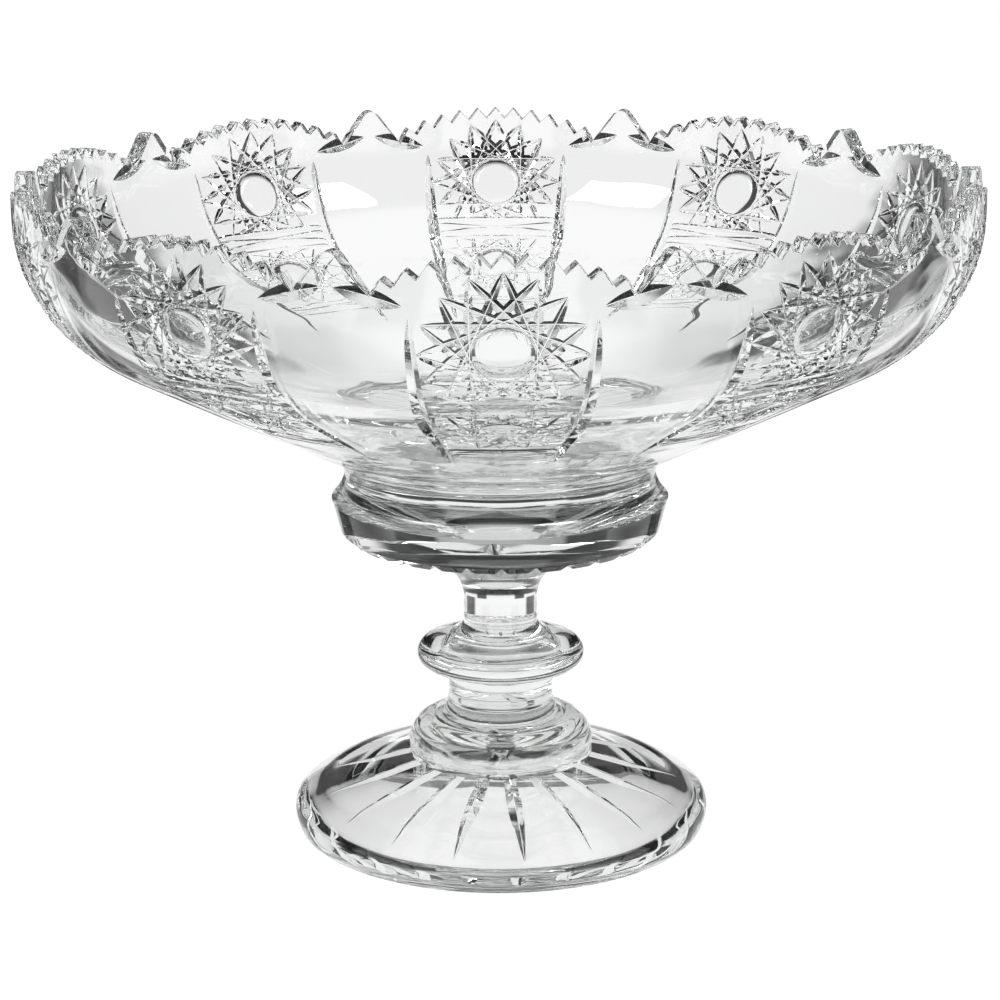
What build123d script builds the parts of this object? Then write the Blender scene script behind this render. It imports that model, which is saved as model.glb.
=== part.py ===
from build123d import *
import math
import os

# Footed punch bowl in clear cut crystal: a foot, a turned stem and a bowl, bonded on one axis.
# Frame: origin at the centre of the face it rests on, +Z up, the middle of one scallop facing -Y.
# Every length is in millimetres and every angle in degrees.

# Foot
FOOT_RADIUS = 79.0            # widest point of the rounded edge
FOOT_EDGE_HEIGHT = 6.0        # height of that widest point
FOOT_BASE_RADIUS = 77.5       # outside of the ring that touches the table
FOOT_REST_WIDTH = 8.5         # width of that flat ring
FOOT_HEIGHT = 28.8            # rest face to the joint with the stem
FOOT_BOSS_STEP = 1.8          # short upright edge just below the joint
FOOT_EDGE_RADIUS = 5.0        # rounding over that point
FOOT_SHOULDER_INSET = 13.0    # where the flare turns over towards the edge, in from the widest point
FOOT_SHOULDER_HEIGHT = 16.4
FOOT_FLARE_SAG = 1.0          # hollow of the flare, off the straight line
FOOT_DOME_HEIGHT = 19.0       # top of the hollow under the foot
FOOT_DOME_FLAT_RADIUS = 6.0
FOOT_DOME_SAG = 2.6
FOOT_RAYS = 16                # star of V-cuts under the foot
FOOT_RAY_TURN = 7.0           # the foot is bonded with one ray this far round from the front
FOOT_RAY_START = 4.0
FOOT_RAY_END = 64.0
FOOT_RAY_DEPTH = 2.5
FOOT_RAY_ONSET = 0.35         # share of that depth at the inner end of a ray
FOOT_RAY_RISE = 1.3           # how fast it deepens from there, per length of the ray
FOOT_RAY_FALL = 3.0           # how fast it runs out at the outer end

# Bonds: films of clear adhesive
BOND_THICKNESS = 0.2
BOND_INSET = 0.5              # the film stops short of the edge of the stem's flange

# Stem, heights from its lower face
STEM_HEIGHT = 84.6
STEM_TOP_RADIUS = 35.0        # flange under the bowl
STEM_TOP_EDGE = 0.8
STEM_CONE = (21.0, 12.6)      # radius where the cone under the flange starts, depth below the top
STEM_NECK_RADIUS = 14.0       # slimmest part, between knop and cone
STEM_NECK_TOP = 23.6          # its top, below the stem's top
STEM_CONE_SAG = 1.3           # hollow of the neck's flare into the cone
KNOP_RADIUS = 31.6
KNOP_CENTRE = 37.4
KNOP_UNDERSIDE = 7.8          # how far below its middle it meets the waist
KNOP_TOP = (20.5, 7.3)        # radius, and height over its middle, where its top turns up to the neck
KNOP_FILLET = (12.0, 1.0)     # height over its middle where the neck starts, and sag of that turn
KNOP_NOSE = (3.6, 4.4)        # rounded nose: depth inward, half height
STEM_WAIST_RADIUS = 19.7      # below the knop
STEM_WAIST_HEIGHT = 21.0
STEM_SHOULDER = (28.5, 11.5)  # radius and height of the lower flange's shoulder
STEM_BASE_RADIUS = 34.9       # flange on the foot
STEM_BASE_EDGE = 2.0
STEM_BASE_BULGE = 2.0         # of the flange's rounded top
STEM_WAIST_SAG = 2.3          # hollow of its flare into the waist

# Bowl
BOWL_HEIGHT = 136.2           # joint with the stem to the tips of the rim
RIM_RADIUS = 175.0
WALL = 7.0
RIM_BAND = 13.0               # upright part of the wall below the rim tips
SHOULDER_RADIUS = 55.0        # bend between the upright band and the sloping wall
FLOOR_THICKNESS = 36.0        # solid base, joint to inner floor
FLOOR_BEND_RADIUS = 80.0      # where the inner wall runs out into the flat floor
COLLAR_BASE_RADIUS = 57.5
COLLAR_CHAMFER = 2.4
COLLAR_RADIUS = 62.9
COLLAR_RIM_HEIGHT = 14.2      # height of the collar's widest edge
COLLAR_SAG = 0.8              # hollow of the slope from there in to the neck
NECK_RADIUS = 58.0            # groove between collar and bowl
NECK_HEIGHT = 23.5
NECK_TOP_RADIUS = 61.5        # where the bowl's sloping wall starts
NECK_TOP_HEIGHT = 31.0
NECK_SAG = 0.6                # hollow between the neck and the bowl's wall
COLLAR_RAYS = 30              # star of V-cuts under the collar
COLLAR_RAY_DEPTH = 3.2

# Rim: scallops with saw teeth, parted by plain peaks
SCALLOPS = 10
TEETH = 11
TOOTH_DEPTH = 3.95
SCALLOP_DROP = 9.7            # drop of the tooth tips from the middle to the end of a scallop
PEAK_WIDTH = 25.6
PEAK_TIP_RADIUS = 4.0
PEAK_TIP_STEPS = 4
RIM_STOCK = 1.0               # blank left above the tips before the rim is cut

# Cut pattern, measured down the outside of the wall from the level of the rim tips
PANEL_GROOVE_ANGLE = 9.6      # long mitre grooves each side of a scallop's middle
PANEL_GROOVE_TOP = 20.0
PANEL_GROOVE_BOTTOM = 121.0
PANEL_GROOVE_DEPTH = 2.1
OLIVE_INNER = (0.75, 11.0)    # inner end of an olive cut: angle from the peak's middle, level
OLIVE_OUTER = (7.75, 16.2)    # its outer end
OLIVE_DEPTH = 2.0
OLIVE_HALF_ANGLE = 55.0       # of its V section
BUTTON_PLACES = (32.5, 76.5)  # round hollows in the middle of the upper and the lower star
BUTTON_RADII = (11.0, 9.2)
BUTTON_DEPTH = 1.6

# How far cutters stand clear of the glass that they cut, and how finely long cuts follow it
CUTTER_CLEARANCE = 3.0
RIM_OVERLAP_ANGLE = 0.2       # overlap of neighbouring rim cuts, over the tip of a peak
CUT_STEPS = 12

# Derived levels and radii
STEM_BASE_Z = FOOT_HEIGHT + BOND_THICKNESS
STEM_TOP_Z = STEM_BASE_Z + STEM_HEIGHT
BOWL_BASE_Z = STEM_TOP_Z + BOND_THICKNESS
TOP_Z = BOWL_BASE_Z + BOWL_HEIGHT
FLOOR_Z = BOWL_BASE_Z + FLOOR_THICKNESS
FRONT = -90.0                 # azimuth of the front, the -Y side
SECTOR = 360.0 / SCALLOPS
PEAK_HALF_ANGLE = math.degrees(PEAK_WIDTH / 2 / RIM_RADIUS)
SCALLOP_HALF_ANGLE = SECTOR / 2 - PEAK_HALF_ANGLE


# ---------------------------------------------------------------- helpers

def point(r, z):
    """Point of an outline in the XZ plane."""
    return Vector(r, 0, z)


def outline(points):
    """Straight runs through (r, z) points."""
    return [Line(point(*a), point(*b)) for a, b in zip(points, points[1:])]


def sagged(start, end, sag):
    """Arc between two (r, z) points, its middle pushed to the left of the way by sag."""
    a, b = point(*start), point(*end)
    way = (b - a).normalized()
    return ThreePointArc(a, (a + b) * 0.5 + Vector(-way.Z, 0, way.X) * sag, b)


def turned(edges):
    """Solid of revolution about Z from the closed outline that the edges make in the XZ plane."""
    return revolve(make_face(Wire(edges)), axis=Axis.Z)


def around(solid, count, first_angle=0.0):
    """Copies of a solid about Z, evenly spaced."""
    return [solid.rotate(Axis.Z, first_angle + 360.0 / count * i) for i in range(count)]


def v_cutter(stations):
    """Wedge with a square V section through stations of (surface point, outward normal, depth).

    The stations lie in the XZ plane, on the +X side.
    """
    sections = []
    for surface, normal, depth in stations:
        lip = surface + normal * CUTTER_CLEARANCE
        across = Vector(0, depth + CUTTER_CLEARANCE, 0)
        sections.append(Wire.make_polygon([surface - normal * depth, lip + across, lip - across]))
    return Solid.make_loft(sections, ruled=True)


def tangent(start, centre, radius, side):
    """Line from a point that touches a circle, both as (r, z): its angle, and the point of touch.

    Side is 1 where the circle lies to the right of the line's way, and -1 where it lies to the left.
    """
    across, up = centre[0] - start[0], centre[1] - start[1]
    angle = math.atan2(up, across) + side * math.asin(radius / math.hypot(across, up))
    return angle, (centre[0] - side * radius * math.sin(angle), centre[1] + side * radius * math.cos(angle))


def on_circle(centre, radius, angle):
    """Point of a circle in the XZ plane, the angle in radians from +X."""
    return (centre[0] + radius * math.cos(angle), centre[1] + radius * math.sin(angle))


def bulge(t):
    """Depth of a cut along its length, from 0 at both ends to 1 in the middle."""
    return math.sqrt(max(0.0, 1 - (2 * t - 1) ** 2))


# ---------------------------------------------------------------- foot

FOOT_SHOULDER_RADIUS = FOOT_RADIUS - FOOT_SHOULDER_INSET
FOOT_HOLLOW_RADIUS = FOOT_BASE_RADIUS - FOOT_REST_WIDTH


def dome_height(r):
    """Height of the hollow under the foot at radius r."""
    if r <= FOOT_DOME_FLAT_RADIUS:
        return FOOT_DOME_HEIGHT
    t = (r - FOOT_DOME_FLAT_RADIUS) / (FOOT_HOLLOW_RADIUS - FOOT_DOME_FLAT_RADIUS)
    return FOOT_DOME_HEIGHT * (1 - t) + 4 * FOOT_DOME_SAG * t * (1 - t)


def foot_ray():
    """One V-cut of the star under the foot."""
    stations = []
    for i in range(CUT_STEPS + 1):
        t = i / CUT_STEPS
        r = FOOT_RAY_START + (FOOT_RAY_END - FOOT_RAY_START) * t
        depth = FOOT_RAY_DEPTH * min(1.0, FOOT_RAY_ONSET + FOOT_RAY_RISE * t, FOOT_RAY_FALL * (1 - t))
        stations.append((point(r, dome_height(r)), Vector(0, 0, -1), depth))
    return v_cutter(stations)


def make_foot():
    boss = (STEM_BASE_RADIUS, FOOT_HEIGHT)
    step = (STEM_BASE_RADIUS, FOOT_HEIGHT - FOOT_BOSS_STEP)
    shoulder = (FOOT_SHOULDER_RADIUS, FOOT_SHOULDER_HEIGHT)
    edge_centre = (FOOT_RADIUS - FOOT_EDGE_RADIUS, FOOT_EDGE_HEIGHT)
    slope, edge_start = tangent(shoulder, edge_centre, FOOT_EDGE_RADIUS, 1)
    edge_middle = on_circle(edge_centre, FOOT_EDGE_RADIUS, (slope + math.pi / 2) / 2)
    edge = (FOOT_RADIUS, FOOT_EDGE_HEIGHT)
    base = (FOOT_BASE_RADIUS, 0)
    undercut = FOOT_RADIUS - FOOT_BASE_RADIUS
    lower_radius = (undercut ** 2 + FOOT_EDGE_HEIGHT ** 2) / (2 * undercut)
    lower_centre = (FOOT_RADIUS - lower_radius, FOOT_EDGE_HEIGHT)
    lower_turn = math.asin(FOOT_EDGE_HEIGHT / lower_radius)
    lower_middle = on_circle(lower_centre, lower_radius, -lower_turn / 2)
    hollow = (FOOT_HOLLOW_RADIUS, 0)
    dome = (FOOT_DOME_FLAT_RADIUS, FOOT_DOME_HEIGHT)
    foot = turned(
        outline([(0, FOOT_HEIGHT), boss, step])
        + [sagged(step, shoulder, -FOOT_FLARE_SAG)]
        + outline([shoulder, edge_start])
        + [ThreePointArc(point(*edge_start), point(*edge_middle), point(*edge)),
           ThreePointArc(point(*edge), point(*lower_middle), point(*base))]
        + outline([base, hollow])
        + [sagged(hollow, dome, -FOOT_DOME_SAG)]
        + outline([dome, (0, FOOT_DOME_HEIGHT), (0, FOOT_HEIGHT)])
    )
    return foot - around(foot_ray(), FOOT_RAYS, FRONT + FOOT_RAY_TURN)


# ---------------------------------------------------------------- stem and bonds

def make_bond(base_z, flange_radius):
    """Film of adhesive between two flat faces."""
    film = Cylinder(flange_radius - BOND_INSET, BOND_THICKNESS,
                    align=(Align.CENTER, Align.CENTER, Align.MIN))
    return film.translate(Vector(0, 0, base_z))


def make_stem():
    base, top = STEM_BASE_Z, STEM_TOP_Z
    knop = base + KNOP_CENTRE
    nose_radius = KNOP_RADIUS - KNOP_NOSE[0]
    base_edge = (STEM_BASE_RADIUS, base + STEM_BASE_EDGE)
    shoulder = (STEM_SHOULDER[0], base + STEM_SHOULDER[1])
    waist = (STEM_WAIST_RADIUS, base + STEM_WAIST_HEIGHT)
    knop_foot = (STEM_WAIST_RADIUS, knop - KNOP_UNDERSIDE)
    nose_low = (nose_radius, knop - KNOP_NOSE[1])
    nose_high = (nose_radius, knop + KNOP_NOSE[1])
    knop_top = (KNOP_TOP[0], knop + KNOP_TOP[1])
    neck = (STEM_NECK_RADIUS, knop + KNOP_FILLET[0])
    neck_top = (STEM_NECK_RADIUS, top - STEM_NECK_TOP)
    cone = (STEM_CONE[0], top - STEM_CONE[1])
    flange = (STEM_TOP_RADIUS, top - STEM_TOP_EDGE)
    return turned(
        outline([(0, base), (STEM_BASE_RADIUS, base), base_edge])
        + [sagged(base_edge, shoulder, -STEM_BASE_BULGE), sagged(shoulder, waist, STEM_WAIST_SAG)]
        + outline([waist, knop_foot, nose_low])
        + [ThreePointArc(point(*nose_low), point(KNOP_RADIUS, knop), point(*nose_high))]
        + outline([nose_high, knop_top])
        + [sagged(knop_top, neck, KNOP_FILLET[1])]
        + outline([neck, neck_top])
        + [sagged(neck_top, cone, STEM_CONE_SAG)]
        + outline([cone, flange, (STEM_TOP_RADIUS, top), (0, top), (0, base)])
    )


# ---------------------------------------------------------------- bowl

SHOULDER_CENTRE = (RIM_RADIUS - SHOULDER_RADIUS, TOP_Z - RIM_BAND)
NECK_TOP = (NECK_TOP_RADIUS, BOWL_BASE_Z + NECK_TOP_HEIGHT)
SLOPE, SHOULDER_FOOT = tangent(NECK_TOP, SHOULDER_CENTRE, SHOULDER_RADIUS, -1)
SHOULDER_TURN = math.pi / 2 - SLOPE
SHOULDER_ARC = SHOULDER_RADIUS * SHOULDER_TURN


def wall(level):
    """Point and outward normal on the outside of the wall, a given way down from the rim tips."""
    if level < RIM_BAND:
        return point(RIM_RADIUS, TOP_Z - level), point(1, 0)
    turn = min((level - RIM_BAND) / SHOULDER_RADIUS, SHOULDER_TURN)
    down = max(0.0, level - RIM_BAND - SHOULDER_ARC)
    surface = point(*on_circle(SHOULDER_CENTRE, SHOULDER_RADIUS, -turn))
    normal = point(math.cos(turn), -math.sin(turn))
    return surface - point(math.cos(SLOPE), math.sin(SLOPE)) * down, normal


def bowl_blank():
    """Turned bowl with its neck and collar, before any cutting."""
    inner_radius = SHOULDER_RADIUS - WALL
    outer_middle = on_circle(SHOULDER_CENTRE, SHOULDER_RADIUS, -SHOULDER_TURN / 2)
    inner_middle = on_circle(SHOULDER_CENTRE, inner_radius, -SHOULDER_TURN / 2)
    inner_bend = on_circle(SHOULDER_CENTRE, inner_radius, -SHOULDER_TURN)
    floor_corner = inner_bend[0] - (inner_bend[1] - FLOOR_Z) / math.tan(SLOPE)
    run_out = FLOOR_BEND_RADIUS * math.tan(SLOPE / 2)
    wall_foot = (floor_corner + run_out * math.cos(SLOPE), FLOOR_Z + run_out * math.sin(SLOPE))
    floor_edge = (floor_corner - run_out, FLOOR_Z)
    floor_bend = ThreePointArc(
        point(*wall_foot),
        point(floor_edge[0] + FLOOR_BEND_RADIUS * math.sin(SLOPE / 2),
              FLOOR_Z + FLOOR_BEND_RADIUS * (1 - math.cos(SLOPE / 2))),
        point(*floor_edge))
    band_z, top = SHOULDER_CENTRE[1], TOP_Z + RIM_STOCK
    chamfer = (COLLAR_BASE_RADIUS + COLLAR_CHAMFER, BOWL_BASE_Z + COLLAR_CHAMFER)
    collar = (COLLAR_RADIUS, BOWL_BASE_Z + COLLAR_RIM_HEIGHT)
    neck = (NECK_RADIUS, BOWL_BASE_Z + NECK_HEIGHT)
    return turned(
        outline([(0, BOWL_BASE_Z), (COLLAR_BASE_RADIUS, BOWL_BASE_Z), chamfer, collar])
        + [sagged(collar, neck, COLLAR_SAG), sagged(neck, NECK_TOP, NECK_SAG)]
        + outline([NECK_TOP, SHOULDER_FOOT])
        + [ThreePointArc(point(*SHOULDER_FOOT), point(*outer_middle), point(RIM_RADIUS, band_z))]
        + outline([(RIM_RADIUS, band_z), (RIM_RADIUS, top), (RIM_RADIUS - WALL, top),
                   (RIM_RADIUS - WALL, band_z)])
        + [ThreePointArc(point(RIM_RADIUS - WALL, band_z), point(*inner_middle), point(*inner_bend))]
        + outline([inner_bend, wall_foot])
        + [floor_bend]
        + outline([floor_edge, (0, FLOOR_Z), (0, BOWL_BASE_Z)])
    )


def rim_outline():
    """Rim of one sector as (angle, height): half a peak, a scallop of teeth, half a peak."""
    half_scallop = math.radians(SCALLOP_HALF_ANGLE) * RIM_RADIUS
    pitch = 2 * half_scallop / TEETH
    right = []
    for i in range(TEETH // 2 + 1):
        for along, cut in ((i * pitch, 0.0), ((i + 0.5) * pitch, TOOTH_DEPTH)):
            right.append((along, -SCALLOP_DROP * (along / half_scallop) ** 2 - cut))
    peak_centre = (half_scallop + PEAK_WIDTH / 2, -PEAK_TIP_RADIUS)
    side, _ = tangent(right[-1], peak_centre, PEAK_TIP_RADIUS, 1)
    for i in range(PEAK_TIP_STEPS + 1):
        turn = math.pi / 2 + side * (1 - i / PEAK_TIP_STEPS)
        right.append(on_circle(peak_centre, PEAK_TIP_RADIUS, turn))
    left = [(-along, height) for along, height in right[:0:-1]]
    return [(math.degrees(along / RIM_RADIUS), TOP_Z + height) for along, height in left + right]


def rim_cutter():
    """Waste above the rim of one sector, every face of it running towards the bowl's axis."""
    low = rim_outline()
    first, last = low[0][0] - RIM_OVERLAP_ANGLE, low[-1][0] + RIM_OVERLAP_ANGLE
    waste_top = TOP_Z + RIM_STOCK + CUTTER_CLEARANCE
    loop = [(first, waste_top), (first, TOP_Z)] + low + [(last, TOP_Z), (last, waste_top)]
    outside = RIM_RADIUS + CUTTER_CLEARANCE
    inside = (RIM_RADIUS - WALL) * math.cos(math.radians(SECTOR / 2)) - CUTTER_CLEARANCE
    sections = []
    for r in (outside, inside):
        corners = [Vector(r, r * math.tan(math.radians(angle)), z) for angle, z in loop]
        sections.append(Wire.make_polygon(corners))
    return Solid.make_loft(sections, ruled=True)


def panel_groove():
    """Long mitre groove down the wall, pointed at both ends."""
    stations = []
    for i in range(CUT_STEPS + 1):
        t = i / CUT_STEPS
        surface, normal = wall(PANEL_GROOVE_TOP + (PANEL_GROOVE_BOTTOM - PANEL_GROOVE_TOP) * t)
        stations.append((surface, normal, PANEL_GROOVE_DEPTH * bulge(t)))
    return v_cutter(stations)


def on_wall(angle, level):
    """Point and outward normal on the wall at an azimuth about Z."""
    surface, normal = wall(level)
    return surface.rotate(Axis.Z, angle), normal.rotate(Axis.Z, angle)


def olive(side):
    """Slanting olive cut beside a peak, the track of a V-edged wheel; side is 1 or -1."""
    inner, _ = on_wall(side * OLIVE_INNER[0], OLIVE_INNER[1])
    outer, _ = on_wall(side * OLIVE_OUTER[0], OLIVE_OUTER[1])
    middle, normal = on_wall(side * (OLIVE_INNER[0] + OLIVE_OUTER[0]) / 2,
                             (OLIVE_INNER[1] + OLIVE_OUTER[1]) / 2)
    length = (outer - inner).length
    wheel = 1 / (8 * OLIVE_DEPTH / length ** 2 - 1 / RIM_RADIUS)
    rise = CUTTER_CLEARANCE + OLIVE_DEPTH
    half = Cone(wheel, wheel - rise, rise * math.tan(math.radians(OLIVE_HALF_ANGLE)),
                align=(Align.CENTER, Align.CENTER, Align.MIN))
    frame = Plane(origin=middle + normal * (wheel - OLIVE_DEPTH), x_dir=outer - inner,
                  z_dir=normal.cross(outer - inner))
    return [frame * half, frame * half.rotate(Axis.X, 180)]


def button(level, radius):
    """Ball whose track is a round hollow in the wall."""
    surface, normal = wall(level)
    ball = 1 / (2 * BUTTON_DEPTH / radius ** 2 - 1 / surface.X)
    return Sphere(ball).translate(surface + normal * (ball - BUTTON_DEPTH))


def collar_ray():
    """One V-cut of the star under the collar, deepest where it notches the collar's edge."""
    under = Vector(0, 0, -1)
    start = STEM_TOP_RADIUS + CUTTER_CLEARANCE
    end = COLLAR_RADIUS + CUTTER_CLEARANCE
    return v_cutter([(point(start, BOWL_BASE_Z), under, 0.0),
                     (point(end, BOWL_BASE_Z), under, COLLAR_RAY_DEPTH)])


def make_bowl():
    bowl = bowl_blank() - around(rim_cutter(), SCALLOPS, FRONT)
    for side in (-1, 1):
        bowl -= around(panel_groove(), SCALLOPS, FRONT + side * PANEL_GROOVE_ANGLE)
        for half in olive(side):
            bowl -= around(half, SCALLOPS, FRONT + SECTOR / 2)
    for level, radius in zip(BUTTON_PLACES, BUTTON_RADII):
        bowl -= around(button(level, radius), SCALLOPS, FRONT)
    return bowl - around(collar_ray(), COLLAR_RAYS, FRONT)


# ---------------------------------------------------------------- assembly

PIECES = {
    "foot": make_foot,
    "foot_bond": lambda: make_bond(FOOT_HEIGHT, STEM_BASE_RADIUS),
    "stem": make_stem,
    "bowl_bond": lambda: make_bond(STEM_TOP_Z, STEM_TOP_RADIUS),
    "bowl": make_bowl,
}

os.makedirs("parts", exist_ok=True)
for name, make in PIECES.items():
    piece = make()
    piece.label = name
    export_step(piece, "parts/" + name + ".step")
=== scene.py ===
import math
from contextlib import contextmanager

import bmesh
import bpy
import numpy as np
from mathutils import Matrix, Vector


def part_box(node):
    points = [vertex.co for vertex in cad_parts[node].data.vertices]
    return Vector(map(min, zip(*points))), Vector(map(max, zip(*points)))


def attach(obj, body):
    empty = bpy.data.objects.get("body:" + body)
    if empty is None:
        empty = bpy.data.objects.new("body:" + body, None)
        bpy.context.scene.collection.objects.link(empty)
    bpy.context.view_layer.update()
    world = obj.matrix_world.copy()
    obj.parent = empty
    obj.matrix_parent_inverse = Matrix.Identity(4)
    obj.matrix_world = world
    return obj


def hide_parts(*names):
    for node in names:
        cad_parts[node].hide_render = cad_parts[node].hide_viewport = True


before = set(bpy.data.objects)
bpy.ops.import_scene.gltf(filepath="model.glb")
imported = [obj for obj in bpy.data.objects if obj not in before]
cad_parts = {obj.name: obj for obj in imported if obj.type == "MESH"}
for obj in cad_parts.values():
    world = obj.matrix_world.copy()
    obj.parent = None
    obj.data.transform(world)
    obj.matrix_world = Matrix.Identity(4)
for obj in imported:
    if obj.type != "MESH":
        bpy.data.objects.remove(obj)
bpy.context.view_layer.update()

# Footed cut-crystal bowl. Shapes are worked out in millimetres in the frame's own axes and turned
# into metres when a mesh is made. Heights and outer sizes come from the frame; the sizes below are
# those of the cutting, which the solid model holds only in part.
MM = 0.001


def box_mm(node):
    """Low and high corners of a node's box, in millimetres."""
    low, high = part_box(node)
    return [v / MM for v in low], [v / MM for v in high]


# ---------------------------------------------------------------- sizes

BOWL_BASE_Z, TOP_Z = box_mm("bowl")[0][2], box_mm("bowl")[1][2]
RIM_RADIUS = box_mm("bowl")[1][0]
STEM_BASE_Z, STEM_TOP_Z = box_mm("stem")[0][2], box_mm("stem")[1][2]
STEM_TOP_RADIUS = box_mm("stem")[1][0]
FOOT_HEIGHT = box_mm("foot")[1][2]
FOOT_RADIUS = box_mm("foot")[1][0]
BOND_RADIUS = {node: box_mm(node)[1][0] for node in ("bowl_bond", "foot_bond")}

# Foot
FOOT_EDGE_HEIGHT = 6.0
FOOT_EDGE_RADIUS = 5.0
FOOT_BASE_RADIUS = 77.5
FOOT_REST_WIDTH = 8.5
FOOT_HOLLOW_RADIUS = FOOT_BASE_RADIUS - FOOT_REST_WIDTH
FOOT_BOSS_STEP = 1.8
FOOT_SHOULDER_INSET = 13.0
FOOT_SHOULDER_HEIGHT = 16.4
FOOT_FLARE_SAG = 1.0
FOOT_DOME_HEIGHT = 19.0
FOOT_DOME_FLAT_RADIUS = 6.0
FOOT_DOME_SAG = 2.6
FOOT_RAYS = 16
FOOT_RAY_TURN = 7.0
FOOT_RAY_START = 4.0
FOOT_RAY_END = 64.0
FOOT_RAY_DEPTH = 2.5
FOOT_RAY_ONSET = 0.35
FOOT_RAY_RISE = 1.3
FOOT_RAY_FALL = 3.0

# Stem, heights from its lower face
STEM_TOP_EDGE = 0.8
STEM_CONE = (21.0, 12.6)
STEM_NECK_RADIUS = 14.0
STEM_NECK_TOP = 23.6
STEM_CONE_SAG = 1.3
KNOP_RADIUS = 31.6
KNOP_CENTRE = 37.4
KNOP_UNDERSIDE = 7.8
KNOP_TOP = (20.5, 7.3)
KNOP_FILLET = (12.0, 1.0)
KNOP_NOSE = (3.6, 4.4)
STEM_WAIST_RADIUS = 19.7
STEM_WAIST_HEIGHT = 21.0
STEM_SHOULDER = (28.5, 11.5)
STEM_BASE_RADIUS = 34.9
STEM_BASE_EDGE = 2.0
STEM_BASE_BULGE = 2.0
STEM_WAIST_SAG = 2.3

# Bowl
WALL = 7.0
RIM_BAND = 13.0
SHOULDER_RADIUS = 55.0
FLOOR_THICKNESS = 36.0
FLOOR_BEND_RADIUS = 80.0
COLLAR_BASE_RADIUS = 57.5
COLLAR_CHAMFER = 2.4
COLLAR_RADIUS = 62.9
COLLAR_RIM_HEIGHT = 14.2
COLLAR_SAG = 0.8
NECK_RADIUS = 58.0
NECK_HEIGHT = 23.5
NECK_TOP_RADIUS = 61.5
NECK_TOP_HEIGHT = 31.0
NECK_SAG = 0.6
COLLAR_RAYS = 30
COLLAR_RAY_DEPTH = 3.2

# Rim
SCALLOPS = 10
TEETH = 11
TOOTH_DEPTH = 3.95
TOOTH_TIP_FLAT = 0.5
SCALLOP_DROP = 9.7
PEAK_WIDTH = 25.6
PEAK_TIP_RADIUS = 4.0

# Cutting on the wall. Places are (along, level): along the rim's circle from a scallop's middle,
# and down the outside of the wall from the level of the rim tips.
PANEL_GROOVE_ANGLE = 9.6
PANEL_GROOVE_TOP = 20.0
PANEL_GROOVE_BOTTOM = 121.0
PANEL_GROOVE_DEPTH = 2.1
OLIVE_INNER = (0.75, 11.0)
OLIVE_OUTER = (7.75, 16.2)
OLIVE_DEPTH = 2.0
OLIVE_HALF_ANGLE = 55.0
STAR_POINTS = 16
STAR_SKIP = 6
STAR_LEVELS = (32.5, 76.5)
STAR_RADII = (27.5, 23.5)
STAR_CLIP = (18.5, 18.0)      # how far the stars reach towards the band of lines between them
STAR_DEPTHS = (1.4, 0.75)
STAR_SPREAD = 1.0             # half width of the V-cuts of stars and bands, over their depth
BUTTON_RADII = (11.0, 9.2)
BUTTON_RING = 4.0             # width of the steep ring round a button's nearly flat middle
BUTTON_SLOPES = (38.0, 3.0)   # slopes of that ring at its outer and inner edges
GROOVE_FLOOR = 0.3            # width of the narrow flat along the bottom of a V-cut
RIM_EDGE = 0.4                # how far the rim's edges are rounded off
BAND_LINES = ((50.2, 50.2), (52.6, 57.4), (57.4, 52.6), (60.4, 60.4))
LOWER_BAND_LINES = ((101.0, 101.0), (103.0, 107.0), (107.0, 103.0), (109.5, 109.5))
BAND_DEPTH = 1.1
BAND_INSET = 1.6              # how far a band's lines stop short of the long grooves

GROOVE_MIDDLE = 70.0          # level at which a long groove is as wide as its depth asks for
GROOVE_END_SHARE = 0.55       # share of a flat groove's depth at a third of its run-out
STAR_RUN_OUT = 0.22           # shares of a groove's length over which it runs out at each end
BAND_RUN_OUT = 0.08

# Bonds: how far a film reaches into the glass on both sides, as it wets both
BOND_WETTING = 0.03

# Mesh
CUT_CLEARANCE = 3.0
SLAB_STOCK = 1.0              # slab left above the rim tips before the rim is cut
RIM_CUT_TOP = -9.0            # level where the rim's cutter ends, above the tips
WALL_END = 130.0              # level where the wall of even thickness ends
COLUMN_ANGLE = 1.8            # azimuth between the columns of a turned mesh
ROW_STEP = 3.0                # largest distance between rows on the wall
ARC_STEP = 7.0                # turn between points of a round stretch, in degrees
FLOOR_STEP = 6.0              # longest straight runs of the outlines: floor and broad slopes
EDGE_STEP = 4.0               # collar and foot
STEM_STEP = 3.0
DOME_POINTS = 24              # points along the hollow under the foot
GROOVE_STATIONS = 25          # sections along a long groove, and along the shorter cuts
CUT_STATIONS = 17
BUTTON_SIDES = 36
SAME_POINT = 1e-3             # points nearer than this are one
CREASE = 25.0                 # turn of a turned outline past which a corner stays sharp, in degrees
FACET_CREASE = 14.0           # the same between two faces of the cutting
FACING_LIMIT = 0.97           # a turned face belongs to a run if the cosine between them is more than this
FACING_COST = 20.0            # how far off a run counts that looks quite another way

FRONT = -90.0
SECTOR = 360.0 / SCALLOPS
SECTOR_HALF = math.radians(SECTOR / 2) * RIM_RADIUS
BASE, CUT = 0, 1              # material slots of a glass piece: turned surface, and cutting


# ---------------------------------------------------------------- outlines

def tangent(start, centre, radius, side):
    """Line from a point that touches a circle: its angle, and the point of touch."""
    across, up = centre[0] - start[0], centre[1] - start[1]
    angle = math.atan2(up, across) + side * math.asin(radius / math.hypot(across, up))
    return angle, (centre[0] - side * radius * math.sin(angle), centre[1] + side * radius * math.cos(angle))


def arc(centre, radius, start, end):
    """Points of an arc from one angle to another, in degrees."""
    count = max(2, math.ceil(abs(end - start) / ARC_STEP))
    turns = [math.radians(start + (end - start) * i / count) for i in range(count + 1)]
    return [(centre[0] + radius * math.cos(a), centre[1] + radius * math.sin(a)) for a in turns]


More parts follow.
